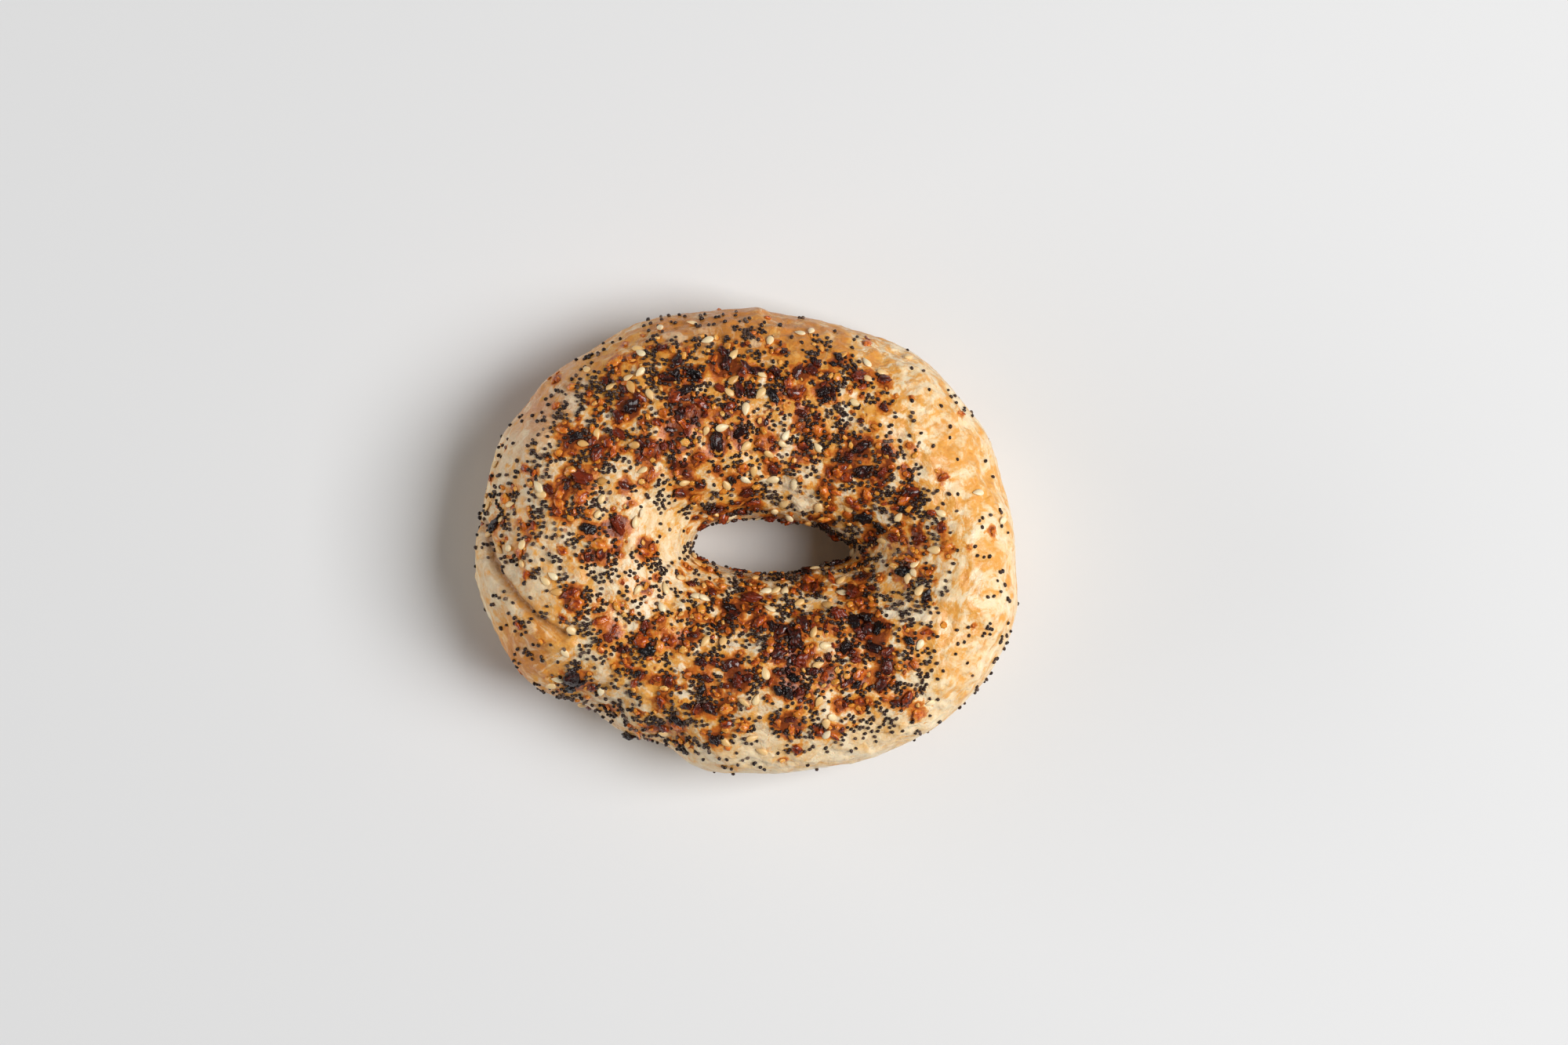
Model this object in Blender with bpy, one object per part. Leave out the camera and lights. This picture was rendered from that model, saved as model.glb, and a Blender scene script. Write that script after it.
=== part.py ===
"""The bread of an everything bagel: one hand-rolled ring of baked dough, modelled at its real size.

Metres, +Z up, X along the bagel's length. The origin is on the table, under the middle of the ring.
A torus primitive is reshaped. Its angle round the hole (turn) picks a cross-section of the ring, and its
angle round the tube (roll) picks a point of that section: 0 at the outer rim, a quarter turn at the crown,
half a turn at the hole and three quarters underneath.
"""

import math

import bpy
from mathutils import Vector, noise

# Driving dimensions, in metres.
LENGTH = 0.1180  # along X, over the outer rim
WIDTH = 0.1006  # along Y, over the outer rim
HEIGHT = 0.0365  # the highest crown above the table
HOLE_LENGTH = 0.0350
HOLE_WIDTH = 0.0117
HOLE_X = 0.0054  # the hole lies a little to +X of the ring's middle
HOLE_Y = -0.0003
HOLE_SLANT = 0.0007  # its -X end lies this far to +Y, and its +X end to -Y

# The cross-section, as shares of the crown's height and of the tube's width.
OUTER_RIM_LEVEL = 0.40  # height of the widest point
HOLE_RIM_LEVEL = 0.47  # height of the narrowest point of the hole
CROWN_PLACE = 0.50  # 0 is the hole's rim, 1 the outer rim
CROWN_SHIFT = 0.14  # the crown moves outwards by this at the +X end
TOP_FULLNESS = 2.02  # superellipse exponent: 2 is round, more is boxier
FUNNEL = 0.45  # the hole's wall at the +X end slopes like a funnel: its exponent is less by this
BASE_FULLNESS = 2.7
BASE_CUT = 0.0011  # the section would reach this far below the table, which flattens the base
HOLE_TAPER = 0.22  # the hole narrows towards +X and widens towards -X by this share

# Swellings and dents of the outer rim: where (degrees), how far they spread (degrees), how far out (m).
RIM_SWELLINGS = (
    (326, 22, 0.0036),  # the fullest shoulder
    (239, 15, -0.0043),  # the dent where the rope's two ends were joined
    (208, 10, 0.0013),  # the rolled end beside the dent
    (275, 10, 0.0005),
    (112, 17, 0.0017),
    (12, 14, -0.0021),
    (352, 8, -0.0013),
    (54, 15, 0.0013),
    (172, 12, -0.0006),
)
# Swellings and dents of the crown: where (degrees), spread (degrees), how far up (m).
CROWN_SWELLINGS = (
    (140, 40, 0.0006),
    (20, 30, -0.0024),  # the thin end of the rope
    (238, 17, -0.0017),  # the joint
    (205, 16, 0.0004),
    (300, 28, -0.0006),
    (75, 16, -0.0010),
)
# Slow waves left by rolling the rope by hand: waves a turn, height (m), phase (radians).
RIM_WAVES = ((7, 0.00035, 0.6), (11, 0.00028, 2.1), (17, 0.00018, 4.4))
CROWN_WAVES = ((5, 0.00040, 1.9), (9, 0.00018, 0.4))
HOLE_WAVES = ((3, 0.00040, 2.6), (5, 0.00035, 0.9), (8, 0.00025, 4.1))

# Lumps in the dough, all over the top and sides.
LUMP_SIZE = 0.015
LUMP_HEIGHT = 0.0011

STATIONS = 108  # cross-sections round the ring
SECTION_POINTS = 38  # points round each cross-section
TORUS_RADIUS = 0.036  # the primitive before it is reshaped
TORUS_TUBE = 0.018

CRUST_COLOUR = (0.78, 0.52, 0.25, 1.0)
CRUST_ROUGHNESS = 0.55


def clear_scene():
    for obj in list(bpy.data.objects):
        bpy.data.objects.remove(obj)


def swelling(turn, features):
    """The sum of smooth local features at this angle round the ring."""
    total = 0.0
    for degrees, spread, amount in features:
        away = math.degrees(math.remainder(turn - math.radians(degrees), math.tau))
        total += amount * math.exp(-0.5 * (away / spread) ** 2)
    return total


def waves(turn, terms):
    return sum(height * math.cos(count * turn + phase) for count, height, phase in terms)


def outer_rim(turn):
    """The widest point of the cross-section, seen from above."""
    reach = 1 + (swelling(turn, RIM_SWELLINGS) + waves(turn, RIM_WAVES)) / (LENGTH / 2)
    return LENGTH / 2 * math.cos(turn) * reach, WIDTH / 2 * math.sin(turn) * reach


def hole_rim(turn):
    """The narrowest point of the hole, seen from above."""
    reach = 1 + waves(turn, HOLE_WAVES) / (HOLE_LENGTH / 2)
    narrowing = 1 - HOLE_TAPER * math.cos(turn)
    x = HOLE_X + HOLE_LENGTH / 2 * math.cos(turn) * reach
    y = HOLE_Y + HOLE_WIDTH / 2 * math.sin(turn) * reach * narrowing
    return x, y - HOLE_SLANT * math.cos(turn)


def crown_height(turn):
    return HEIGHT + swelling(turn, CROWN_SWELLINGS) + waves(turn, CROWN_WAVES)


def section_point(turn, roll):
    """A point of the cross-section: its place from the hole's rim (0) to the outer rim (1), and its height."""
    crown = crown_height(turn)
    across, up = math.cos(roll), math.sin(roll)
    rim = crown * (OUTER_RIM_LEVEL if across > 0 else HOLE_RIM_LEVEL)
    end = max(0.0, math.cos(turn)) ** 2
    if up >= 0:
        middle = CROWN_PLACE + CROWN_SHIFT * end
        power = 2 / (TOP_FULLNESS - (FUNNEL * end if across < 0 else 0))
        height = rim + (crown - rim) * up**power
    else:
        middle = 0.5
        power = 2 / BASE_FULLNESS
        height = max(0.0, rim - (rim + BASE_CUT) * (-up) ** power)
    reach = 1 - middle if across > 0 else middle
    return middle + math.copysign(reach * abs(across) ** power, across), height


def surface_point(turn, roll):
    """The point of the bagel's surface at this angle round the hole and round the tube."""
    share, height = section_point(turn, roll)
    hole, rim = Vector(hole_rim(turn)), Vector(outer_rim(turn))
    place = (hole + (rim - hole) * share).to_3d()
    place.z = height
    outwards = (rim - hole).normalized().to_3d() * math.cos(roll)
    outwards.z = max(0.0, math.sin(roll))
    clear_of_base = min(1.0, height / (HEIGHT * OUTER_RIM_LEVEL))
    return place + outwards * (LUMP_HEIGHT * clear_of_base * noise.noise(place / LUMP_SIZE))


def crust_material():
    material = bpy.data.materials.new("crust")
    material.use_nodes = True
    shader = material.node_tree.nodes["Principled BSDF"]
    shader.inputs["Base Color"].default_value = CRUST_COLOUR
    shader.inputs["Roughness"].default_value = CRUST_ROUGHNESS
    shader.inputs["Metallic"].default_value = 0.0
    return material


def centre_on_origin(mesh):
    """Moves the ring sideways, so that its box is centred over the origin."""
    xs = [vertex.co.x for vertex in mesh.vertices]
    ys = [vertex.co.y for vertex in mesh.vertices]
    middle_x, middle_y = (min(xs) + max(xs)) / 2, (min(ys) + max(ys)) / 2
    for vertex in mesh.vertices:
        vertex.co.x -= middle_x
        vertex.co.y -= middle_y


def make_bagel():
    bpy.ops.mesh.primitive_torus_add(
        major_segments=STATIONS,
        minor_segments=SECTION_POINTS,
        major_radius=TORUS_RADIUS,
        minor_radius=TORUS_TUBE,
    )
    bagel = bpy.context.object
    bagel.name = "bagel"
    for vertex in bagel.data.vertices:
        x, y, z = vertex.co
        turn = math.atan2(y, x)
        roll = math.atan2(z, math.hypot(x, y) - TORUS_RADIUS)
        vertex.co = surface_point(turn, roll)
    centre_on_origin(bagel.data)
    bagel.data.shade_smooth()
    bagel.data.materials.append(crust_material())
    return bagel


def main():
    clear_scene()
    collection = bpy.data.collections.new("everything_bagel")
    bpy.context.scene.collection.children.link(collection)
    bagel = make_bagel()
    for other in list(bagel.users_collection):
        other.objects.unlink(bagel)
    collection.objects.link(bagel)


main()
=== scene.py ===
"""The looks of an everything bagel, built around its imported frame.

The crust is the frame's own shape, remeshed fine and given its wrinkles, blisters and fold. Poppy and
sesame seeds, dried onion and garlic and charred flakes are scattered on it at their real size, each kind
as one mesh. Metres, +Z up, in the frame's coordinates: the bagel stands on the table at z = 0.
"""

import math
import random

import bmesh
import bpy
import numpy as np
from mathutils import Matrix, Vector, noise
from mathutils.kdtree import KDTree

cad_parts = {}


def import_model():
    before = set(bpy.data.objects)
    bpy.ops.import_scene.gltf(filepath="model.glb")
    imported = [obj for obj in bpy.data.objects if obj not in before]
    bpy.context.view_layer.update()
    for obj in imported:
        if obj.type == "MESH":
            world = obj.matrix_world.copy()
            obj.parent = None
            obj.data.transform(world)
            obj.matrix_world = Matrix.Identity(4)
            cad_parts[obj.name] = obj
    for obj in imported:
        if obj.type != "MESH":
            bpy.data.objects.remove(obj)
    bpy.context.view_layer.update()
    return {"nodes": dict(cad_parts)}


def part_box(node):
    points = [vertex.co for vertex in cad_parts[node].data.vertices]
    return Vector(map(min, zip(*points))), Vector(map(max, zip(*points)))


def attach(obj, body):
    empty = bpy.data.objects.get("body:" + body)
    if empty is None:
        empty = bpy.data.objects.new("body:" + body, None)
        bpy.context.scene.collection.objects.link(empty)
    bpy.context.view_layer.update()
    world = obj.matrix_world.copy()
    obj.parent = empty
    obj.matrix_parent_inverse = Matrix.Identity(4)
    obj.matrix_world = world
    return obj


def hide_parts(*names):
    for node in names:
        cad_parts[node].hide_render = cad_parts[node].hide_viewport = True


BODY = "root"
SEED = 7

# Camera and light.
PICTURE_WIDTH = 0.340  # metres of table that the picture shows
LENS = 80.0
SENSOR = 36.0
CAMERA_AIM = (0.0080, 0.0044)
RIM_LEVEL = 0.4  # the outline's height, as a share of the bagel's, where PICTURE_WIDTH is measured
KEY_AZIMUTH = -2.0  # degrees from +X: a big soft window on the right
KEY_ELEVATION = 51.0
KEY_DISTANCE = 2.1
KEY_SIZE = 1.20
KEY_POWER = 51.0
CARD_ELEVATION = 14.0  # a pale card on the left throws some light back
CARD_DISTANCE = 1.6
CARD_SIZE = (0.6, 1.6)
CARD_POWER = 11.5
WORLD_LEVEL = 0.125
FLOOR_COLOUR = (0.75, 0.75, 0.75)
FLOOR_SIZE = 4.0

# Crust mesh.
VOXEL = 0.00064
SMOOTHING_STEPS = 30

# Patches on the top: where, as shares of the half length and half width, how far they spread (m), how much.
THICK_TOPPING = (
    (-0.34, 0.57, 0.0085, 0.95),
    (0.02, 0.68, 0.0075, 0.55),
    (0.34, 0.60, 0.0075, 0.7),
    (0.42, 0.34, 0.0060, 0.4),
    (0.56, -0.02, 0.0075, 0.65),
    (0.52, -0.36, 0.0085, 0.50),
    (0.12, -0.42, 0.0090, 0.75),
    (-0.26, -0.48, 0.0080, 0.85),
    (0.34, -0.71, 0.0080, 0.60),
    (-0.55, 0.30, 0.0070, 0.3),
    (-0.64, 0.02, 0.0060, 0.2),
    (-0.70, -0.66, 0.0050, 0.6),
    # Places with little on them.
    (-0.27, 0.03, 0.0055, -0.40),
    (-0.28, 0.17, 0.0050, -0.40),
    (-0.76, 0.56, 0.0050, -0.50),
    (-0.90, -0.32, 0.0080, -1.20),
    (-0.78, -0.48, 0.0055, -0.90),
    (-0.78, 0.50, 0.0045, -0.20),
    (-0.46, -0.60, 0.0050, -0.25),
    (0.66, 0.52, 0.0070, -0.60),
    (0.84, 0.14, 0.0080, -0.60),
    (0.10, 0.92, 0.0060, -0.35),
    (0.10, -0.90, 0.0070, -0.50),
)
PLAIN_TOPPING = 0.55  # how thick the topping is between those patches

# Where the oven was hottest, so that the onion is darker.
HOT = (
    (-0.25, 0.62, 0.0120, 0.45),
    (0.15, 0.62, 0.0100, 0.45),
    (0.45, 0.52, 0.0080, 0.30),
    (0.50, -0.20, 0.0120, 0.30),
    (0.10, -0.42, 0.0110, 0.30),
    (0.40, -0.62, 0.0100, 0.25),
    (-0.70, -0.62, 0.0060, 0.30),
)

# The bare margin reaches in from the rim by a share of the half width: degrees, spread, reach.
BARE_MARGINS = (
    (6, 20, 0.24),
    (46, 16, 0.16),
    (84, 14, 0.09),
    (112, 12, 0.03),
    (140, 14, 0.05),
    (266, 14, 0.13),
    (304, 18, 0.12),
    (338, 14, 0.14),
    (160, 12, 0.03),
)
LEAST_MARGIN = 0.015

# Small notches and swellings of the outer rim, finer than the frame's own: degrees, spread, how far out (m).
RIM_NOTCHES = (
    (251, 4, -0.0017),  # where the overlapping lobes of dough meet
    (230, 4, -0.0008),
    (281, 7, -0.0010),
    (201, 6, -0.0009),
    (318, 14, -0.0006),
    (148, 16, 0.0008),
)

# The fold where the dough's outer lip closed, as shares of the half length and half width.
FOLD = ((-0.955, 0.08), (-0.925, -0.06), (-0.880, -0.16), (-0.815, -0.25), (-0.735, -0.33), (-0.655, -0.38))

# Lumps, dimples and grain of the crust: height (m), size (m), noise offset, share on the sides.
LUMPS = ((0.00055, 0.0068, 1.0, 0.0), (0.00042, 0.0034, 2.0, 0.0), (0.00036, 0.0018, 4.0, 0.35))
# Wrinkles drawn out along the sides: height (m), size (m), noise offset.
WRINKLES = ((0.00034, 0.0021, 3.0), (0.00020, 0.0010, 9.0))
BLISTER_SPACING = 0.0021
BLISTER_HEIGHT = 0.00016
GROOVE_WIDTH = 0.00060
GROOVE_DEPTH = 0.00125
LIP_WIDTH = 0.0016
LIP_PLACE = 0.0022  # how far the lip's crest lies from the groove
LIP_HEIGHT = 0.00085
# Loose tags of dough that show against the table: where, how wide (m), how far out (m).
TAGS = ((-0.925, 0.475, 0.0011, 0.0012), (0.04, 0.985, 0.0016, 0.0007))

# Looks of the bare crust, placed like the topping: golden clouds, pinkish wrinkled skin, damp grey dough.
GOLDEN = (
    (-0.06, 0.92, 0.0080, 0.95),
    (0.20, 0.88, 0.0075, 0.75),
    (-0.24, 0.90, 0.0060, 0.75),
    (-0.46, 0.78, 0.0060, 0.60),
    (0.46, 0.74, 0.0070, 0.40),
    (0.68, 0.50, 0.0070, 0.22),
    (0.80, 0.16, 0.0070, 0.28),
    (0.84, -0.22, 0.0060, 0.22),
    (0.72, -0.45, 0.0060, 0.15),
    (-0.74, -0.42, 0.0055, 0.60),
    (-0.84, -0.50, 0.0055, 0.80),
    (-0.36, -0.52, 0.0060, 0.30),
    (-0.10, 0.45, 0.0060, 0.25),
    (-0.90, 0.12, 0.0060, 0.10),
    (-0.20, -0.88, 0.0060, 0.10),
)
ROSY = (
    (-0.76, 0.58, 0.0065, 0.75),
    (-0.58, 0.76, 0.0060, 0.60),
    (-0.30, 0.94, 0.0050, 0.55),
    (-0.84, -0.54, 0.0050, 1.00),
    (-0.66, -0.74, 0.0050, 0.40),
)
GREYISH = (
    (-0.80, 0.10, 0.0100, 0.70),
    (-0.90, -0.15, 0.0070, 0.50),
    (-0.84, 0.42, 0.0050, 0.50),
    (-0.60, -0.14, 0.0080, 0.50),
    (-0.50, -0.68, 0.0070, 0.50),
    (-0.10, -0.80, 0.0080, 0.40),
    (0.10, 0.35, 0.0060, 0.45),
    (0.30, -0.50, 0.0100, 0.35),
    (-0.20, 0.62, 0.0060, 0.35),
)

# Real sizes, in metres, and how many of each.
POPPY_LENGTH = 0.00095
SESAME_LENGTH = 0.0027
ONION_LENGTH = 0.0020
GARLIC_LENGTH = 0.0012
CHAR_LENGTH = 0.0032

POPPY_COUNT = 3500
SESAME_COUNT = 130
ONION_COUNT = 350
GARLIC_COUNT = 460
CHAR_COUNT = 105
HEADROOM = 0.0009  # how far the topping may stand above the frame's highest point

# Scattering.
SMALLEST, LARGEST = 0.5, 1.75  # a thing's size, as a share of its kind's length
HALF_DEPTH = 0.28  # how far a thing reaches above its own middle, as a share of its size
TRIES = 8  # places tried for each thing that is laid

# How the stain fades with the square of the distance from a flake, in flake sizes: share, fading.
STAIN_CORE = (0.85, 2.4)
STAIN_HALO = (0.21, 0.45)

# Colours of the crust, from damp dough to nearly burnt sugar.
PALE = (0.90, 0.71, 0.45)
CREAM = (0.80, 0.50, 0.20)
GREY = (0.61, 0.45, 0.28)
ROSE = (0.60, 0.20, 0.060)
WET = (0.86, 0.71, 0.51)
FRIED = (0.76, 0.34, 0.060)
GOLD = (0.79, 0.37, 0.068)
AMBER = (0.58, 0.20, 0.030)
STROKE = (0.68, 0.24, 0.030)
FLOURY = (0.92, 0.76, 0.52)
SYRUP = (0.76, 0.31, 0.040)
BROWNED = (0.52, 0.115, 0.010)
BURNT = (0.17, 0.028, 0.006)
LIGHT_FRECKLE = (0.62, 0.20, 0.022)
DARK_FRECKLE = (0.26, 0.048, 0.008)
# painted shade for the fold's groove, not a colour of the crust itself
FOLD_PAINTED_SHADE = (0.36, 0.14, 0.04)
BAKED_BASE = (0.50, 0.24, 0.085)


# --- shape helpers -------------------------------------------------------------------------------


def smoothstep(low, high, value):
    share = np.clip((value - low) / (high - low), 0.0, 1.0)
    return share * share * (3 - 2 * share)


def noise_at(points, size, offset=0.0):
    """Smooth noise from about -1 to 1 at each point, with features of this size."""
    shift = Vector((offset, offset * 0.7, -offset))
    return np.array([noise.noise(Vector(p) / size + shift) for p in points])


def cells_at(points, size, offset=0.0):
    """The distance from each point to the nearest of many scattered spots, in spot spacings."""
    shift = Vector((offset, -offset, offset * 0.5))
    return np.array([noise.voronoi(Vector(p) / size + shift)[0][0] for p in points])


def mesh_points(mesh):
    points = np.empty(len(mesh.vertices) * 3)
    mesh.vertices.foreach_get("co", points)
    return points.reshape(-1, 3)


def mesh_normals(mesh):
    normals = np.empty(len(mesh.vertices) * 3)
    mesh.vertex_normals.foreach_get("vector", normals)
    return normals.reshape(-1, 3)


def set_points(mesh, points):
    mesh.vertices.foreach_set("co", points.ravel())
    mesh.update()


def store(mesh, name, values):
    """Keeps one number for each vertex, for the material to read."""
    attribute = mesh.attributes.new(name, "FLOAT", "POINT")
    attribute.data.foreach_set("value", np.asarray(values, np.float32))


def add_object(name, mesh):
    obj = bpy.data.objects.new(name, mesh)
    bpy.context.scene.collection.objects.link(obj)
    return obj


class Ring:
    """The bagel seen from above: where a point lies round the hole and across the ring."""

    def __init__(self, low, high):
        self.half_x = (high.x - low.x) / 2
        self.half_y = (high.y - low.y) / 2
        self.height = high.z

    def turn(self, points):
        return np.arctan2(points[:, 1] / self.half_y, points[:, 0] / self.half_x)

    def reach(self, points):
        """0 in the middle, 1 at the outer rim."""
        return np.hypot(points[:, 0] / self.half_x, points[:, 1] / self.half_y)

    def near(self, points, x, y, radius):
        """A soft round patch, 1 at (x, y), given as shares of the half length and half width."""
        away = np.hypot(points[:, 0] - x * self.half_x, points[:, 1] - y * self.half_y)
        return np.exp(-0.5 * (away / radius) ** 2)

    def patches(self, points, patches):
        return sum(amount * self.near(points, x, y, radius) for x, y, radius, amount in patches)

    def streaks(self, points, stretch=4.0):
        """The points squeezed together round the ring: noise read there is drawn out along the dough."""
        turn, reach = self.turn(points), self.reach(points)
        round_ring = self.half_y / stretch
        outwards = reach * self.half_y + points[:, 2]
        return np.stack([np.cos(turn) * round_ring, np.sin(turn) * round_ring, outwards], 1)


def bump_sum(turn, features):
    """The sum of smooth local features at this angle round the ring."""
    total = np.zeros(len(turn))
    for degrees, spread, amount in features:
        away = np.degrees(np.angle(np.exp(1j * (turn - math.radians(degrees)))))
        total += amount * np.exp(-0.5 * (away / spread) ** 2)
    return total


# --- the crust -----------------------------------------------------------------------------------


def fine_mesh(node):
    """The frame's solid as an even, smooth mesh fine enough for wrinkles."""
    source = add_object("crust_source", node.data.copy())
    remesh = source.modifiers.new("fine", "REMESH")
    remesh.mode = "VOXEL"
    remesh.voxel_size = VOXEL
    smooth = source.modifiers.new("smooth", "SMOOTH")
    smooth.factor = 0.5
    smooth.iterations = SMOOTHING_STEPS
    graph = bpy.context.evaluated_depsgraph_get()
    mesh = bpy.data.meshes.new_from_object(source.evaluated_get(graph))
    bpy.data.objects.remove(source)
    mesh.name = "crust"
    return mesh


def along_line(points, line):
    """The distance in plan from each point to a line of points, and the signed side it lies on."""
    best = np.full(len(points), 1e9)
    side = np.zeros(len(points))
    for (ax, ay), (bx, by) in zip(line, line[1:]):
        dx, dy = bx - ax, by - ay
        share = ((points[:, 0] - ax) * dx + (points[:, 1] - ay) * dy) / (dx * dx + dy * dy)
        share = np.clip(share, 0, 1)
        away_x = points[:, 0] - ax - share * dx
        away_y = points[:, 1] - ay - share * dy
        distance = np.hypot(away_x, away_y)
        closer = distance < best
        best[closer] = distance[closer]
        side[closer] = np.sign(dx * away_y - dy * away_x)[closer]
    return best, side


def fold_line(ring):
    """The fold down the -X side: points in metres."""
    return [(x * ring.half_x, y * ring.half_y) for x, y in FOLD]


def wrinkle_relief(points, ring, side):
    """Wrinkles along the sides, mostly where the skin is rosy."""
    streaks = ring.streaks(points)
    wrinkled = np.clip(0.30 + ring.patches(points, ROSY) + 0.5 * noise_at(points, 0.014, 5.0), 0, 1)
    relief = np.zeros(len(points))
    for height, size, offset in WRINKLES:
        relief += height * noise_at(streaks, size, offset) * side * wrinkled
    return relief


def blister_relief(points, side):
    """Blisters from the boil, mostly low on the sides."""
    blister = smoothstep(0.42, 0.10, cells_at(points, BLISTER_SPACING, 1.0))
    fewer = smoothstep(0.0, 0.5, noise_at(points, 0.008, 11.0))
    return BLISTER_HEIGHT * blister * fewer * (0.35 + 0.65 * side)


def fold_relief(points, up, ring):
    """A narrow groove with a raised lip on its outer side, and how deep each point lies in it, which also
    sets the painted shade that darkens the groove.
    """
    distance, lip_side = along_line(points, fold_line(ring))
    on_top = smoothstep(0.05, 0.3, up)
    groove = np.exp(-0.5 * (distance / GROOVE_WIDTH) ** 2) * on_top
    lip = np.exp(-0.5 * ((distance - LIP_PLACE) / LIP_WIDTH) ** 2) * on_top * (lip_side < 0)
    return LIP_HEIGHT * lip - GROOVE_DEPTH * groove, groove


def crust_relief(points, normals, ring):
    """How far each point moves out along its normal, and how deep it lies in the fold, which sets the fold's
    painted shade.
    """
    reach, up = ring.reach(points), normals[:, 2]
    top = smoothstep(-0.1, 0.5, up)
    side = (1 - smoothstep(0.45, 0.92, up)) * smoothstep(0.6, 0.85, reach)
    relief = wrinkle_relief(points, ring, side)
    for height, size, offset, on_side in LUMPS:
        relief += height * noise_at(points, size, offset) * (on_side + (1 - on_side) * top)
    relief += blister_relief(points, side)
    relief += bump_sum(ring.turn(points), RIM_NOTCHES) * smoothstep(0.70, 0.90, reach)
    fold, groove = fold_relief(points, up, ring)
    relief += fold
    high = smoothstep(0.25, 0.4, points[:, 2] / ring.height)
    for x, y, width, out in TAGS:
        relief += out * ring.near(points, x, y, width) * high
    resting = smoothstep(0.0002, 0.004, points[:, 2])
    return relief * resting, groove


def topping_thickness(points, normals, ring):
    """0 where the crust is bare, about 1 to 2 where the topping lies thick."""
    turn, reach = ring.turn(points), ring.reach(points)
    margin = np.maximum(LEAST_MARGIN, bump_sum(turn, BARE_MARGINS))
    edge = 1 - smoothstep(1 - margin - 0.08, 1 - margin + 0.06, reach)
    in_hole = 1 - smoothstep(0.40, 0.50, reach)
    facing = smoothstep(-0.05 - 0.45 * in_hole, 0.55 - 0.35 * in_hole, normals[:, 2])
    above_table = smoothstep(0.008, 0.016, points[:, 2])
    thickness = np.maximum(0.0, PLAIN_TOPPING + ring.patches(points, THICK_TOPPING))
    return thickness * edge * facing * above_table


def stray(points, normals):
    """The few things that stuck to the bare margin and, fewer still, to the sides."""
    on_margin = 0.05 * smoothstep(0.1, 0.7, normals[:, 2])
    on_sides = 0.006 * smoothstep(0.006, 0.012, points[:, 2])
    return on_margin + on_sides


def make_crust(node, ring):
    mesh = fine_mesh(node)
    points, normals = mesh_points(mesh), mesh_normals(mesh)
    relief, groove = crust_relief(points, normals, ring)
    points = points + normals * relief[:, None]
    points[:, 2] = np.maximum(points[:, 2], 0.0)
    set_points(mesh, points)
    mesh.shade_smooth()
    normals = mesh_normals(mesh)
    underneath = smoothstep(-0.45, -0.90, normals[:, 2])
    low = smoothstep(0.36, 0.12, points[:, 2] / ring.height)
    upper = 1 - np.maximum(low, underneath)
    # how deep each point lies in the fold's groove, kept for the painted shade there
    store(mesh, "groove", groove)
    store(mesh, "underneath", underneath)
    store(mesh, "topped", np.clip(topping_thickness(points, normals, ring), 0, 1))
    store(mesh, "golden", np.clip(ring.patches(points, GOLDEN), 0, 1) * upper)
    store(mesh, "rosy", np.clip(ring.patches(points, ROSY), 0, 1) * (1 - underneath))
    store(mesh, "greyish", np.clip(ring.patches(points, GREYISH), 0, 1) * upper)
    streaks = mesh.attributes.new("streaks", "FLOAT_VECTOR", "POINT")
    streaks.data.foreach_set("vector", ring.streaks(points).astype(np.float32).ravel())
    return add_object("crust", mesh)


# --- one seed or flake of each shape ---------------------------------------------------------------


def shape_of(bm, mark):
    """(points, triangles, marks) of a bmesh, which is then freed. mark gives each point's own number."""
    bmesh.ops.triangulate(bm, faces=bm.faces)
    bm.verts.index_update()
    points = np.array([v.co for v in bm.verts])
    triangles = np.array([[v.index for v in f.verts] for f in bm.faces])
    bm.free()
    return points, triangles, mark(points)


def height_in(points):
    low, high = points[:, 2].min(), points[:, 2].max()
    return (points[:, 2] - low) / (high - low)


def poppy_shape(rng):
    """A kidney about 1 long: a sphere bent round a notch in its side."""
    bm = bmesh.new()
    bmesh.ops.create_uvsphere(bm, u_segments=7, v_segments=5, radius=0.5)
    bend = rng.uniform(0.35, 0.7)
    for vertex in bm.verts:
        x, y, z = vertex.co
        notch = 0.16 * math.exp(-((x / 0.22) ** 2)) * max(0.0, -y) * 2
        vertex.co = (z, y * 0.84 + notch + bend * (z * z - 0.1) * -0.35, x * 0.80)
    return shape_of(bm, height_in)


def sesame_shape(rng):
    """A flattened drop about 1 long, pointed at +X."""
    bm = bmesh.new()
    bmesh.ops.create_uvsphere(bm, u_segments=16, v_segments=12, radius=0.5)
    width, depth = rng.uniform(0.44, 0.52), rng.uniform(0.22, 0.28)
    bow = rng.uniform(-0.10, 0.10)
    for vertex in bm.verts:
        x, y, z = vertex.co
        along = z * 2
        taper = 1.15 * (1.0 - 0.34 * along - 0.20 * along * along)
        rim = 1 + 0.10 * math.cos(2 * math.atan2(y, x))
        vertex.co = (z, y * width * taper, x * depth * taper * rim + bow * (z * z - 0.1))
    return shape_of(bm, lambda points: points[:, 0] + 0.5)


def random_direction(rng):
    return Vector((rng.gauss(0, 1), rng.gauss(0, 1), rng.gauss(0, 1))).normalized()


def nugget_shape(rng, cuts, sharpness, width, depth, crumple, curl=0.0):
    """A broken piece about 1 long: a ball cut by random planes, its edges worn round, its faces crumpled."""
    bm = bmesh.new()
    bmesh.ops.create_icosphere(bm, subdivisions=3, radius=1.0)
    planes = [(random_direction(rng), rng.uniform(0.30, 0.46)) for _ in range(cuts)]
    offset = random_direction(rng) * 9
    for vertex in bm.verts:
        direction = vertex.co.normalized()
        facing = [(direction.dot(normal), distance) for normal, distance in planes]
        nearness = sum((cosine / distance) ** sharpness for cosine, distance in facing if cosine > 0)
        reach = (nearness + 2.0**sharpness) ** (-1 / sharpness)
        for waves, share, side in ((2.4, 1.0, 1), (5.0, 0.6, -1), (9.0, 0.4, 1)):
            reach *= 1 + share * crumple * noise.noise(direction * waves + offset * side)
        x, y, z = direction * reach
        vertex.co = (x * 1.1, y * width, z * depth + curl * (x * x - 0.08))
    return shape_of(bm, height_in)


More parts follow.
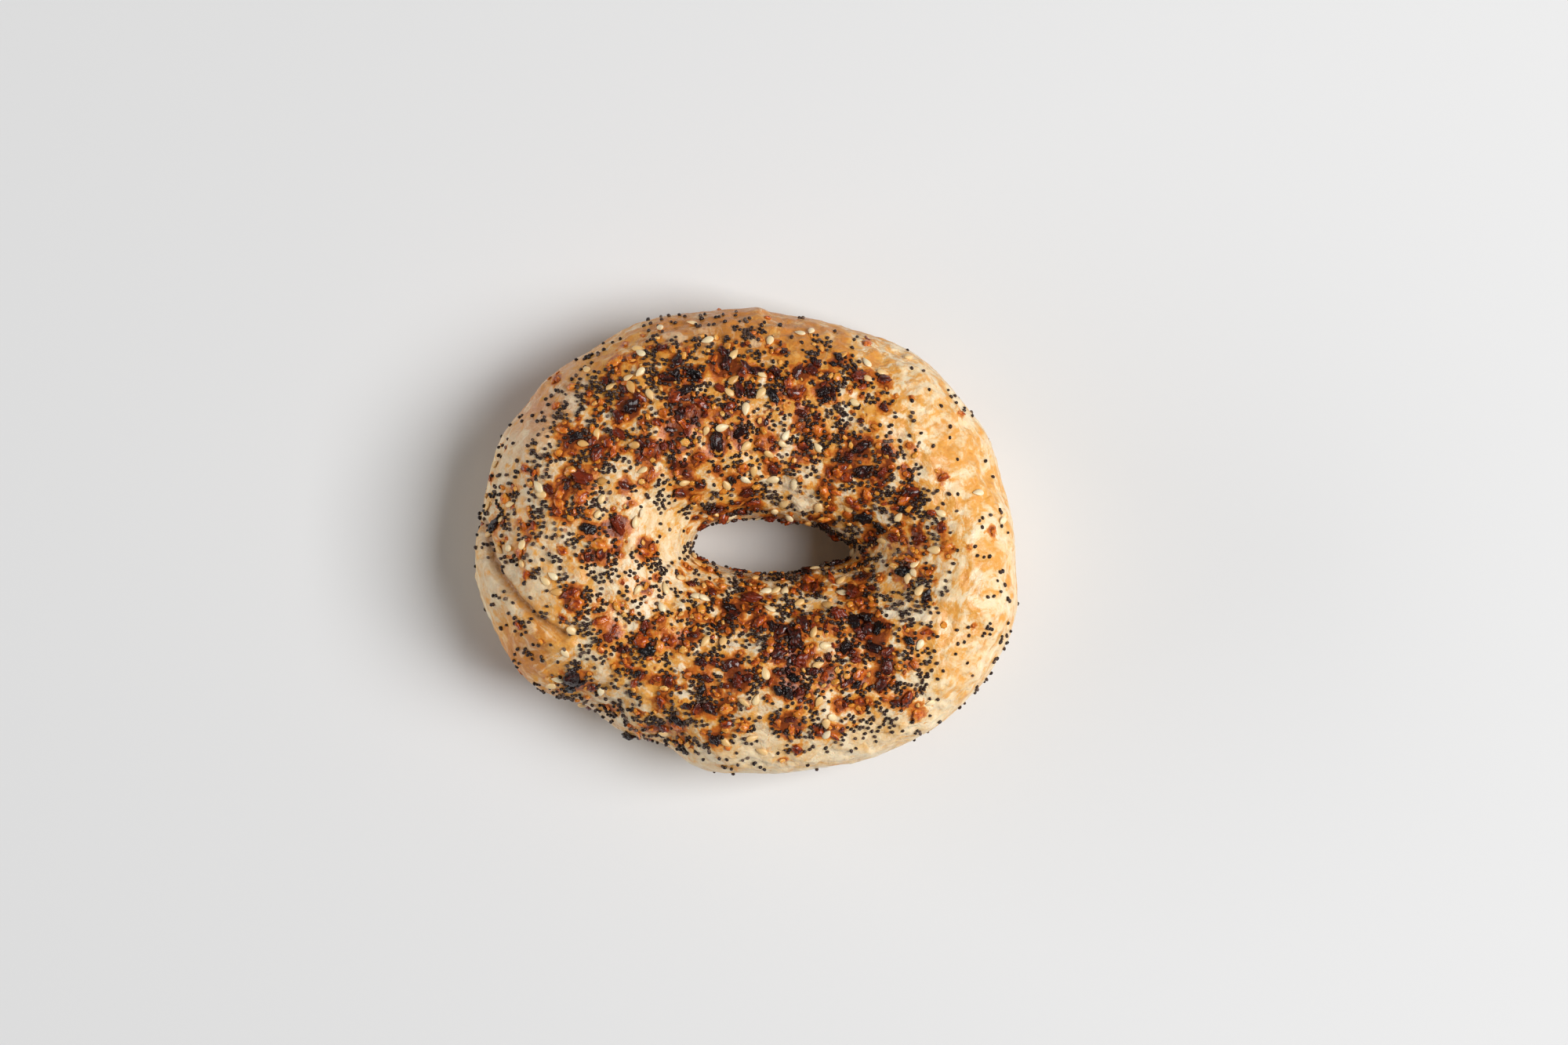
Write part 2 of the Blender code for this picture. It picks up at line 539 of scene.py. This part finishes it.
def onion_chunk(rng):
    width, depth = rng.uniform(0.55, 0.95), rng.uniform(0.40, 0.75)
    return nugget_shape(rng, cuts=7, sharpness=16, width=width, depth=depth, crumple=0.34)


def onion_curl(rng):
    """A thin flake of onion that curled as it dried."""
    width, depth = rng.uniform(0.4, 0.9), rng.uniform(0.18, 0.30)
    curl = rng.uniform(-0.6, 0.7)
    return nugget_shape(rng, cuts=6, sharpness=14, width=width, depth=depth, crumple=0.45, curl=curl)


def garlic_granule(rng):
    width, depth = rng.uniform(0.6, 1.0), rng.uniform(0.45, 0.8)
    return nugget_shape(rng, cuts=7, sharpness=14, width=width, depth=depth, crumple=0.30)


def char_shape(rng):
    """A burnt lump about 1 long: grains stuck together, so that its surface is craggy."""
    bm = bmesh.new()
    bmesh.ops.create_icosphere(bm, subdivisions=4, radius=0.5)
    offset = random_direction(rng) * 9
    width, depth = rng.uniform(0.55, 0.90), rng.uniform(0.36, 0.55)
    for vertex in bm.verts:
        crumple = 0.50 * noise.noise(vertex.co * 3.0 + offset)
        grains = 0.5 - noise.voronoi(vertex.co * 4.5 + offset)[0][0]
        x, y, z = vertex.co * (0.84 + crumple + 0.30 * grains)
        vertex.co = (x, y * width, z * depth)
    return shape_of(bm, height_in)


# --- scattering ------------------------------------------------------------------------------------


class Surface:
    """The crust's triangles, for choosing points on them."""

    def __init__(self, mesh):
        mesh.calc_loop_triangles()
        corners = np.empty(len(mesh.loop_triangles) * 3, np.int32)
        mesh.loop_triangles.foreach_get("vertices", corners)
        self.corners = corners.reshape(-1, 3)
        self.points = mesh_points(mesh)
        self.normals = mesh_normals(mesh)
        a, b, c = (self.points[self.corners[:, i]] for i in range(3))
        self.areas = np.linalg.norm(np.cross(b - a, c - a), axis=1) / 2

    def pick(self, generator, weights, count):
        """count points with their normals, more of them where weights, given at each vertex, are high."""
        chance = self.areas * weights[self.corners].mean(axis=1)
        chosen = generator.choice(len(chance), size=count, p=chance / chance.sum())
        u, v = generator.random(count), generator.random(count)
        over = u + v > 1
        u[over], v[over] = 1 - u[over], 1 - v[over]
        share = np.stack([1 - u - v, u, v], axis=1)[:, :, None]
        points = (self.points[self.corners[chosen]] * share).sum(axis=1)
        normals = (self.normals[self.corners[chosen]] * share).sum(axis=1)
        return points, normals / np.linalg.norm(normals, axis=1)[:, None]


class Taken:
    """Remembers the balls of space that are taken, so that the next things keep clear of them."""

    CELL = 0.004

    def __init__(self):
        self.cells = {}

    def key(self, point):
        return tuple(int(math.floor(c / self.CELL)) for c in point)

    def free(self, point, radius):
        x, y, z = self.key(point)
        for dx in (-1, 0, 1):
            for dy in (-1, 0, 1):
                for dz in (-1, 0, 1):
                    for other, other_radius in self.cells.get((x + dx, y + dy, z + dz), ()):
                        if math.dist(point, other) < radius + other_radius:
                            return False
        return True

    def take(self, point, radius):
        self.cells.setdefault(self.key(point), []).append((tuple(point), radius))


class Placed:
    """One seed or flake: which shape it is, where it lies, how it is turned, how big and how dark it is."""

    def __init__(self, shape, position, rotation, size, tone):
        self.shape, self.position, self.rotation = shape, position, rotation
        self.size, self.tone = size, tone


def standing(normal, spin, tilt, lean):
    """The rotation that lays a thing on the surface, turned by spin and tipped by tilt towards lean."""
    lay = Vector((0, 0, 1)).rotation_difference(Vector(normal)).to_matrix()
    tip = Matrix.Rotation(tilt, 3, Vector((math.cos(lean), math.sin(lean), 0)))
    return np.array(lay @ tip @ Matrix.Rotation(spin, 3, "Z"))


def joined(name, shapes, things, ceiling, material):
    """One mesh of all the things, each pressed in to stay below the ceiling. tone keeps each one's own shade,
    and mark its shape's number at each point."""
    points, triangles, tones, marks = [], [], [], []
    first = 0
    for thing in things:
        base, faces, mark = shapes[thing.shape]
        piece = base * thing.size @ thing.rotation.T + thing.position
        piece[:, 2] -= max(0.0, piece[:, 2].max() - ceiling)
        points.append(piece)
        triangles.append(faces + first)
        tones.append(np.full(len(base), thing.tone))
        marks.append(mark)
        first += len(base)
    mesh = bpy.data.meshes.new(name)
    points, triangles = np.concatenate(points), np.concatenate(triangles)
    mesh.vertices.add(len(points))
    mesh.vertices.foreach_set("co", points.astype(np.float32).ravel())
    mesh.loops.add(triangles.size)
    mesh.loops.foreach_set("vertex_index", triangles.astype(np.int32).ravel())
    mesh.polygons.add(len(triangles))
    mesh.polygons.foreach_set("loop_start", np.arange(0, triangles.size, 3, dtype=np.int32))
    mesh.update(calc_edges=True)
    mesh.validate()
    mesh.shade_smooth()
    store(mesh, "tone", np.concatenate(tones))
    store(mesh, "mark", np.concatenate(marks))
    mesh.materials.append(material)
    obj = add_object(name, mesh)
    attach(obj, BODY)
    print(name, len(things), "copies,", len(triangles), "triangles")
    return obj


# --- materials -------------------------------------------------------------------------------------


class Shading:
    """One material's nodes, with a short call for each kind that is used here. Sizes are in metres."""

    def __init__(self, name):
        self.material = bpy.data.materials.new(name)
        self.material.use_nodes = True
        self.tree = self.material.node_tree
        self.shader = self.tree.nodes["Principled BSDF"]
        self.place = self.tree.nodes.new("ShaderNodeTexCoord").outputs["Object"]

    def link(self, source, socket):
        if isinstance(source, bpy.types.NodeSocket):
            self.tree.links.new(source, socket)
        elif isinstance(source, tuple) and len(source) == 3 and socket.type == "RGBA":
            socket.default_value = (*source, 1)
        else:
            socket.default_value = source

    def noise(self, size, detail=3.0, rough=0.55, distortion=0.0, place=None):
        node = self.tree.nodes.new("ShaderNodeTexNoise")
        node.inputs["Scale"].default_value = 1 / size
        node.inputs["Detail"].default_value = detail
        node.inputs["Roughness"].default_value = rough
        node.inputs["Distortion"].default_value = distortion
        self.link(place or self.place, node.inputs["Vector"])
        return node.outputs["Fac"]

    def cells(self, size):
        """The distance to the nearest of many scattered spots, in spot spacings."""
        node = self.tree.nodes.new("ShaderNodeTexVoronoi")
        node.inputs["Scale"].default_value = 1 / size
        self.link(self.place, node.inputs["Vector"])
        return node.outputs["Distance"]

    def attribute(self, name):
        node = self.tree.nodes.new("ShaderNodeAttribute")
        node.attribute_name = name
        return node

    def value(self, name):
        return self.attribute(name).outputs["Fac"]

    def ramp(self, source, *stops):
        """Each stop is (place, number) or (place, colour)."""
        node = self.tree.nodes.new("ShaderNodeValToRGB")
        points = node.color_ramp.elements
        while len(points) < len(stops):
            points.new(0.5)
        for point, (place, shade) in zip(points, stops):
            point.position = place
            point.color = (*shade, 1) if isinstance(shade, tuple) else (shade, shade, shade, 1)
        self.link(source, node.inputs["Fac"])
        return node.outputs["Color"]

    def math(self, operation, a, b):
        node = self.tree.nodes.new("ShaderNodeMath")
        node.operation = operation
        self.link(a, node.inputs[0])
        self.link(b, node.inputs[1])
        return node.outputs["Value"]

    def plus(self, a, b):
        return self.math("ADD", a, b)

    def times(self, a, b):
        return self.math("MULTIPLY", a, b)

    def mix(self, share, a, b):
        node = self.tree.nodes.new("ShaderNodeMix")
        node.data_type = "RGBA"
        self.link(share, node.inputs["Factor"])
        first, second = (socket for socket in node.inputs if socket.type == "RGBA")
        self.link(a, first)
        self.link(b, second)
        return next(socket for socket in node.outputs if socket.type == "RGBA")

    def bump(self, height, depth, strength=1.0, below=None):
        node = self.tree.nodes.new("ShaderNodeBump")
        node.inputs["Distance"].default_value = depth
        node.inputs["Strength"].default_value = strength
        self.link(height, node.inputs["Height"])
        if below is not None:
            self.link(below, node.inputs["Normal"])
        return node.outputs["Normal"]

    def set(self, **sockets):
        for name, source in sockets.items():
            self.link(source, self.shader.inputs[name.replace("_", " ")])


def crust_dough(m, feathers, mottled):
    """Cream dough with pale clouds, grey where it is damp, pinkish where it wrinkled."""
    colour = m.mix(m.ramp(mottled, (0.42, 0.0), (0.58, 1.0)), PALE, CREAM)
    damp = m.plus(m.times(m.value("greyish"), 0.75), m.times(m.value("topped"), 0.25))
    damp = m.times(damp, m.ramp(m.noise(0.0045, 3.0, 0.6, 0.8), (0.36, 0.15), (0.56, 1.0)))
    colour = m.mix(damp, colour, GREY)
    rosy = m.times(m.value("rosy"), m.ramp(feathers, (0.30, 0.45), (0.55, 1.0)))
    return m.mix(rosy, colour, ROSE)


def crust_blotches(m, colour):
    """Between the flakes the crust is golden where butter fried it, pale and wet elsewhere."""
    topped = m.value("topped")
    blotches = m.noise(0.0034, 4.0, 0.6, 1.2)
    colour = m.mix(m.times(topped, m.ramp(blotches, (0.42, 0.9), (0.50, 0.0))), colour, WET)
    buttery = m.plus(m.times(topped, 0.9), m.value("golden"))
    return m.mix(m.times(buttery, m.ramp(blotches, (0.53, 0.0), (0.60, 0.85))), colour, FRIED)


def crust_toast(m, colour, feathers, flecks, mottled):
    """Golden clouds, amber in the middle of the biggest, and fine strokes drawn out along the dough."""
    golden = m.value("golden")
    toast = m.plus(m.plus(m.times(mottled, 1.35), m.times(flecks, 0.60)), m.times(golden, 0.42))
    toast = m.plus(m.plus(toast, -0.35), m.times(m.value("topped"), 0.08))
    colour = m.mix(m.ramp(toast, (0.68, 0.0), (0.80, 0.95)), colour, GOLD)
    colour = m.mix(m.ramp(toast, (0.86, 0.0), (1.0, 0.8)), colour, AMBER)
    strokes = m.times(m.plus(golden, 0.10), m.ramp(feathers, (0.52, 0.0), (0.60, 0.9)))
    colour = m.mix(strokes, colour, STROKE)
    return m.mix(m.ramp(feathers, (0.38, 0.45), (0.46, 0.0)), colour, FLOURY)


def crust_stains(m, colour, flecks):
    """Sugars that ran out of the onion and garlic: golden, then brown, then nearly burnt beside the flake."""
    ragged = m.plus(m.value("stain"), m.times(m.plus(flecks, -0.5), 1.5))
    colour = m.mix(m.ramp(ragged, (0.26, 0.0), (0.40, 0.9)), colour, SYRUP)
    colour = m.mix(m.ramp(ragged, (0.42, 0.0), (0.62, 0.9)), colour, BROWNED)
    return m.mix(m.ramp(ragged, (0.74, 0.0), (0.95, 0.85)), colour, BURNT)


def crust_freckles(m, colour):
    """Crumbs that melted flat, in loose groups."""
    crumbs = m.plus(m.cells(0.0017), m.times(m.plus(m.noise(0.0006, 2.0), -0.5), 0.35))
    freckles = m.times(m.ramp(crumbs, (0.22, 0.9), (0.34, 0.0)), m.value("topped"))
    freckles = m.times(freckles, m.ramp(m.noise(0.0034, 2.0), (0.44, 0.0), (0.54, 1.0)))
    darker = m.ramp(m.noise(0.0022, 1.0), (0.42, 0.0), (0.58, 1.0))
    return m.mix(freckles, colour, m.mix(darker, LIGHT_FRECKLE, DARK_FRECKLE))


def crust_grain(m, feathers):
    """The skin's own grain, finer than the mesh."""
    grain = m.bump(m.noise(0.00060, 2.0, 0.5), 0.00010, 0.5)
    grain = m.bump(m.noise(0.0016, 2.0, 0.5, 0.4), 0.00060, 0.8, below=grain)
    return m.bump(feathers, 0.00020, 0.3, below=grain)


def crust_material():
    m = Shading("baked_crust")
    clouds = m.noise(0.0060, 4.0, 0.62, 0.6)
    feathers = m.noise(0.0016, 5.0, 0.66, 0.6, m.attribute("streaks").outputs["Vector"])
    flecks = m.noise(0.0019, 3.0, 0.6, 0.4)
    mottled = m.plus(m.times(clouds, 0.5), m.times(feathers, 0.5))
    colour = crust_dough(m, feathers, mottled)
    colour = crust_blotches(m, colour)
    colour = crust_toast(m, colour, feathers, flecks, mottled)
    colour = crust_stains(m, colour, flecks)
    colour = crust_freckles(m, colour)
    # Painted shade: the crust is darkened in the fold's groove, where shadow falls.
    colour = m.mix(m.times(m.value("groove"), 0.75), colour, FOLD_PAINTED_SHADE)
    patchy = m.ramp(m.noise(0.0090, 4.0, 0.65), (0.36, 0.0), (0.62, 1.0))
    colour = m.mix(m.value("underneath"), colour, m.mix(patchy, BAKED_BASE, CREAM))
    gloss = m.ramp(m.noise(0.0016, 3.0), (0.35, 0.30), (0.65, 0.50))
    m.set(Base_Color=colour, Roughness=gloss, Normal=crust_grain(m, feathers))
    m.set(Coat_Weight=0.10, Coat_Roughness=0.20, Specular_IOR_Level=0.28)
    m.set(Subsurface_Weight=0.18, Subsurface_Scale=0.0012, Subsurface_Radius=(1.0, 0.55, 0.28))
    return m.material


def poppy_material():
    m = Shading("poppy_seed")
    shade = m.ramp(
        m.value("tone"),
        (0.00, (0.012, 0.006, 0.005)),
        (0.50, (0.028, 0.011, 0.007)),
        (0.82, (0.060, 0.030, 0.020)),
        (1.00, (0.180, 0.115, 0.080)),
    )
    pits = m.cells(0.00016)
    colour = m.mix(m.ramp(pits, (0.15, 0.0), (0.50, 0.25)), shade, (0.060, 0.036, 0.030))
    m.set(Base_Color=colour, Roughness=0.26, Specular_IOR_Level=0.22, Normal=m.bump(pits, 0.00004, 0.7))
    m.set(Coat_Weight=0.10, Coat_Roughness=0.06)
    return m.material


def sesame_material():
    m = Shading("sesame_seed")
    hull = m.ramp(
        m.value("tone"),
        (0.00, (0.92, 0.77, 0.51)),
        (0.45, (0.88, 0.64, 0.33)),
        (0.85, (0.80, 0.48, 0.17)),
        (1.00, (0.64, 0.32, 0.08)),
    )
    toasted = m.times(m.ramp(m.value("mark"), (0.55, 0.0), (1.0, 0.6)), m.noise(0.0012, 2.0))
    colour = m.mix(toasted, hull, (0.50, 0.24, 0.07))
    m.set(Base_Color=colour, Roughness=0.36, Normal=m.bump(m.noise(0.00035, 2.0), 0.00005, 0.5))
    m.set(Subsurface_Weight=0.2, Subsurface_Scale=0.0008, Subsurface_Radius=(1.0, 0.7, 0.4))
    return m.material


def onion_material():
    m = Shading("dried_onion")
    # Its foot, soaked in butter and thin, is lighter than its back.
    burnt = m.plus(m.times(m.value("tone"), 0.72), m.times(m.plus(m.noise(0.0010, 3.0), -0.5), 0.75))
    burnt = m.plus(burnt, m.times(m.value("mark"), 0.28))
    colour = m.ramp(
        burnt,
        (0.10, (0.78, 0.34, 0.055)),
        (0.30, (0.66, 0.165, 0.014)),
        (0.44, (0.36, 0.050, 0.006)),
        (0.58, (0.110, 0.014, 0.005)),
        (0.78, (0.018, 0.006, 0.005)),
    )
    m.set(Base_Color=colour, Roughness=0.24, Coat_Weight=0.3, Coat_Roughness=0.08, Specular_IOR_Level=0.35)
    m.set(Normal=m.bump(m.noise(0.0005, 3.0), 0.00016, 0.7), Subsurface_Weight=0.15, Subsurface_Scale=0.0007)
    return m.material


def garlic_material():
    m = Shading("dried_garlic")
    burnt = m.plus(m.times(m.value("tone"), 0.65), m.times(m.plus(m.noise(0.0009, 2.0), -0.5), 0.6))
    burnt = m.plus(burnt, m.times(m.value("mark"), 0.25))
    colour = m.ramp(
        burnt,
        (0.10, (0.80, 0.50, 0.17)),
        (0.38, (0.76, 0.30, 0.030)),
        (0.62, (0.54, 0.125, 0.010)),
        (0.90, (0.20, 0.028, 0.006)),
    )
    m.set(Base_Color=colour, Roughness=0.28, Coat_Weight=0.2, Coat_Roughness=0.10, Specular_IOR_Level=0.35)
    m.set(Normal=m.bump(m.noise(0.0005, 3.0), 0.00012, 0.6), Subsurface_Weight=0.2, Subsurface_Scale=0.0008)
    return m.material


def char_material():
    m = Shading("charred_onion")
    burnt = m.plus(m.times(m.value("tone"), 0.5), m.times(m.noise(0.0012, 3.0), 0.7))
    shade = m.ramp(
        burnt,
        (0.34, (0.004, 0.003, 0.003)),
        (0.58, (0.020, 0.004, 0.003)),
        (0.86, (0.20, 0.024, 0.006)),
    )
    m.set(Base_Color=shade, Roughness=0.24, Specular_IOR_Level=0.25, Coat_Weight=0.2, Coat_Roughness=0.08)
    m.set(Normal=m.bump(m.noise(0.0005, 4.0, 0.65), 0.00020, 0.7))
    return m.material


# --- topping ---------------------------------------------------------------------------------------


class Topping:
    """Scatters each kind in turn, keeping each thing clear of those already there."""

    def __init__(self, crust, ring):
        self.ring, self.ceiling = ring, ring.height + HEADROOM
        self.rng, self.generator = random.Random(SEED), np.random.default_rng(SEED)
        self.surface, self.taken = Surface(crust.data), Taken()
        points, normals = self.surface.points, self.surface.normals
        self.thick = topping_thickness(points, normals, ring)
        self.stray = stray(points, normals)

    def clumps(self, size, strength, offset):
        """Weights that gather things in clumps of about this size, the more so for more strength."""
        return np.exp(strength * noise_at(self.surface.points, size, offset))

    def shapes(self, count, make):
        return [make(self.rng) for _ in range(count)]

    def lay(self, weights, count, shapes, length, spread, footprint, sink, tilt, heat=0.0):
        """Lays count things. footprint, their half width, and sink, how high their middle lies, are shares of
        their length. heat is how much darker the hottest places make them."""
        rng, things = self.rng, []
        points, normals = self.surface.pick(self.generator, weights, count * TRIES)
        hot = np.clip(self.ring.patches(points, HOT), 0, 1)
        for point, normal, hotness in zip(points, normals, hot):
            if len(things) == count:
                break
            size = length * min(LARGEST, max(SMALLEST, rng.lognormvariate(0, spread)))
            too_high = point[2] + size * (sink + HALF_DEPTH) > self.ceiling
            if too_high or not self.taken.free(point, size * footprint):
                continue
            self.taken.take(point, size * footprint)
            spin, tip, lean = rng.uniform(0, math.tau), rng.gauss(0, tilt), rng.uniform(0, math.tau)
            rotation = standing(normal, spin, tip, lean)
            tone = min(1.0, (1 - heat) * rng.random() + heat * hotness)
            position = point + normal * size * sink
            things.append(Placed(rng.randrange(len(shapes)), position, rotation, size, tone))
        return things


def make_topping(crust, ring):
    """Lays every kind on the crust. It gives back what stains the crust, and the random draws so far."""
    topping = Topping(crust, ring)
    chars = topping.shapes(9, char_shape)
    onions = topping.shapes(18, onion_chunk) + topping.shapes(10, onion_curl)
    garlics = topping.shapes(12, garlic_granule)
    sesames = topping.shapes(6, sesame_shape)
    poppies = topping.shapes(6, poppy_shape)

    everywhere = topping.thick + topping.stray
    char_things = topping.lay(
        topping.thick**1.9 * topping.clumps(0.011, 2.0, 21.0), CHAR_COUNT, chars,
        length=CHAR_LENGTH, spread=0.30, footprint=0.26, sink=0.10, tilt=0.3)
    onion_things = topping.lay(
        everywhere**1.1 * topping.clumps(0.008, 1.5, 22.0), ONION_COUNT, onions,
        length=ONION_LENGTH, spread=0.40, footprint=0.26, sink=0.08, tilt=0.35, heat=0.45)
    garlic_things = topping.lay(
        everywhere * topping.clumps(0.010, 1.1, 23.0), GARLIC_COUNT, garlics,
        length=GARLIC_LENGTH, spread=0.34, footprint=0.27, sink=0.08, tilt=0.4, heat=0.25)
    sesame_things = topping.lay(
        (topping.thick**0.5 + topping.stray) * topping.clumps(0.013, 0.9, 24.0), SESAME_COUNT, sesames,
        length=SESAME_LENGTH, spread=0.08, footprint=0.27, sink=0.11, tilt=0.22)
    poppy_clumps = topping.clumps(0.0075, 2.4, 25.0) * topping.clumps(0.0024, 4.2, 26.0)
    poppy_things = topping.lay(
        everywhere * poppy_clumps, POPPY_COUNT, poppies,
        length=POPPY_LENGTH, spread=0.09, footprint=0.33, sink=0.22, tilt=0.5)

    ceiling = topping.ceiling
    joined("charred_flakes", chars, char_things, ceiling, char_material())
    joined("onion_flakes", onions, onion_things, ceiling, onion_material())
    joined("garlic_granules", garlics, garlic_things, ceiling, garlic_material())
    joined("sesame_seeds", sesames, sesame_things, ceiling, sesame_material())
    joined("poppy_seeds", poppies, poppy_things, ceiling, poppy_material())
    return char_things + onion_things + garlic_things, topping.rng


def stain_crust(crust, flakes, rng):
    """Marks the crust round each flake, where its sugars ran out and browned."""
    tree = KDTree(len(flakes))
    for index, flake in enumerate(flakes):
        tree.insert(flake.position, index)
    tree.balance()
    strength = [rng.uniform(0.35, 1.2) for _ in flakes]
    stain = []
    for point in mesh_points(crust.data):
        total = 0.0
        for _, index, distance in tree.find_n(point, 3):
            near = (distance / flakes[index].size) ** 2
            for share, fading in (STAIN_CORE, STAIN_HALO):
                total += strength[index] * share * math.exp(-fading * near)
        stain.append(total)
    store(crust.data, "stain", stain)


# --- stage -----------------------------------------------------------------------------------------


def add_lamp(name, azimuth, elevation, distance, size, power):
    """A soft rectangular lamp that faces the bagel from these angles, in degrees."""
    lamp = bpy.data.lights.new(name, "AREA")
    lamp.shape = "RECTANGLE"
    lamp.size_y, lamp.size = size
    lamp.energy = power
    azimuth, elevation = math.radians(azimuth), math.radians(elevation)
    level = math.cos(elevation)
    towards = Vector((math.cos(azimuth) * level, math.sin(azimuth) * level, math.sin(elevation)))
    light = add_object(name, lamp)
    light.location = towards * distance
    light.rotation_euler = (-towards).to_track_quat("-Z", "Y").to_euler()


def make_stage():
    floor_mesh = bpy.data.meshes.new("floor")
    bm = bmesh.new()
    bmesh.ops.create_grid(bm, x_segments=1, y_segments=1, size=FLOOR_SIZE)
    bm.to_mesh(floor_mesh)
    bm.free()
    m = Shading("floor")
    m.set(Base_Color=FLOOR_COLOUR, Roughness=0.75, Specular_IOR_Level=0.2)
    floor_mesh.materials.append(m.material)
    add_object("floor", floor_mesh)

    add_lamp("window", KEY_AZIMUTH, KEY_ELEVATION, KEY_DISTANCE, (KEY_SIZE, KEY_SIZE), KEY_POWER)
    add_lamp("card", 180 + KEY_AZIMUTH, CARD_ELEVATION, CARD_DISTANCE, CARD_SIZE, CARD_POWER)

    world = bpy.data.worlds.new("room")
    world.use_nodes = True
    world.node_tree.nodes["Background"].inputs["Color"].default_value = (1, 1, 1, 1)
    world.node_tree.nodes["Background"].inputs["Strength"].default_value = WORLD_LEVEL
    bpy.context.scene.world = world


def make_camera(rim_level):
    camera = bpy.data.cameras.new("camera")
    camera.lens = LENS
    camera.sensor_width = SENSOR
    camera.clip_start, camera.clip_end = 0.01, 20.0
    obj = add_object("camera", camera)
    obj.location = (*CAMERA_AIM, rim_level + PICTURE_WIDTH * LENS / SENSOR)
    bpy.context.scene.camera = obj


def main():
    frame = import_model()
    low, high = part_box("bagel")
    ring = Ring(low, high)
    make_camera(RIM_LEVEL * high.z)
    make_stage()
    crust = make_crust(frame["nodes"]["bagel"], ring)
    flakes, rng = make_topping(crust, ring)
    stain_crust(crust, flakes, rng)
    crust.data.materials.clear()
    crust.data.materials.append(crust_material())
    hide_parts("bagel")
    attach(crust, BODY)
    print("crust", len(crust.data.polygons), "faces")
    bpy.context.scene.view_settings.view_transform = "Standard"


main()
